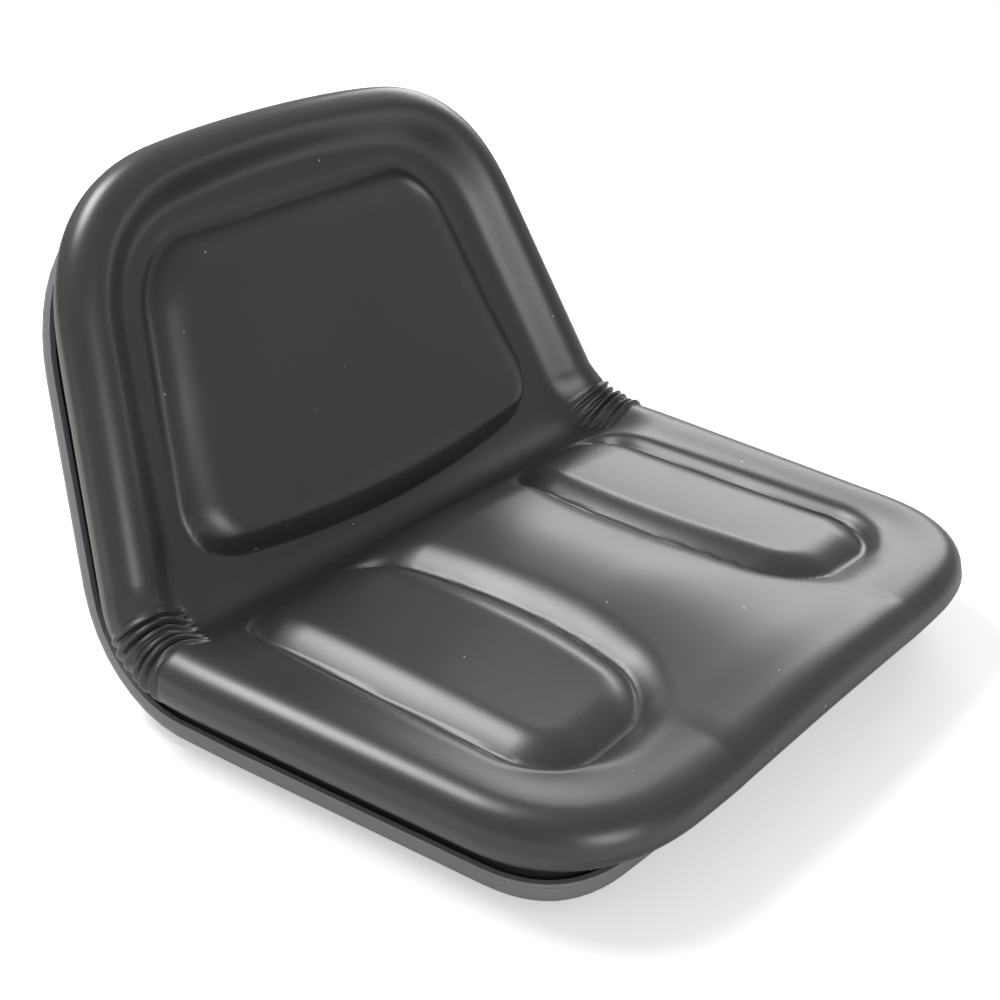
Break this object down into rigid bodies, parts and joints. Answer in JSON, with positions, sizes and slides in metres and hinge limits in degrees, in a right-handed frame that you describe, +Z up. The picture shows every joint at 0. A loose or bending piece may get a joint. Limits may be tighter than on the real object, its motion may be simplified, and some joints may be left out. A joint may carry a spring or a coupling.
{
  "type": "bucket seat",
  "caption": "Low-back bucket seat: pressed steel pan with a padded moulded cushion, side bolsters, raised back panel and leg pads, for bolting to a small garden machine.",
  "frame": {"origin": "middle of the four-bolt pattern, on the underside of the pan's pressed platform", "axes": "+X to the right as seen from the front, +Y towards the back, +Z up along the bolts into the seat"},
  "size_m": [0.4862, 0.4791, 0.3081],
  "materials": {
    "painted_steel": "semi-gloss dark grey paint",
    "vinyl": "black satin vinyl with a fine grain",
    "foam": "cut polyurethane foam",
    "plywood": "bare plywood",
    "zinc_steel": "zinc plated"
  },
  "bodies": {
    "root": {"seat_pan": "painted_steel", "vinyl_cover": "vinyl", "foam_core": "foam", "seat_board": "plywood", "back_board": "plywood", "weld_nut_1": "zinc_steel", "weld_nut_2": "zinc_steel", "weld_nut_3": "zinc_steel", "weld_nut_4": "zinc_steel", "tee_nut_1": "zinc_steel", "tee_nut_2": "zinc_steel", "tee_nut_3": "zinc_steel", "tee_nut_4": "zinc_steel", "tee_nut_5": "zinc_steel", "tee_nut_6": "zinc_steel", "washer_1": "zinc_steel", "washer_2": "zinc_steel", "washer_3": "zinc_steel", "washer_4": "zinc_steel", "washer_5": "zinc_steel", "washer_6": "zinc_steel", "screw_1": "zinc_steel", "screw_2": "zinc_steel", "screw_3": "zinc_steel", "screw_4": "zinc_steel", "screw_5": "zinc_steel", "screw_6": "zinc_steel"}
  },
  "joints": []
}
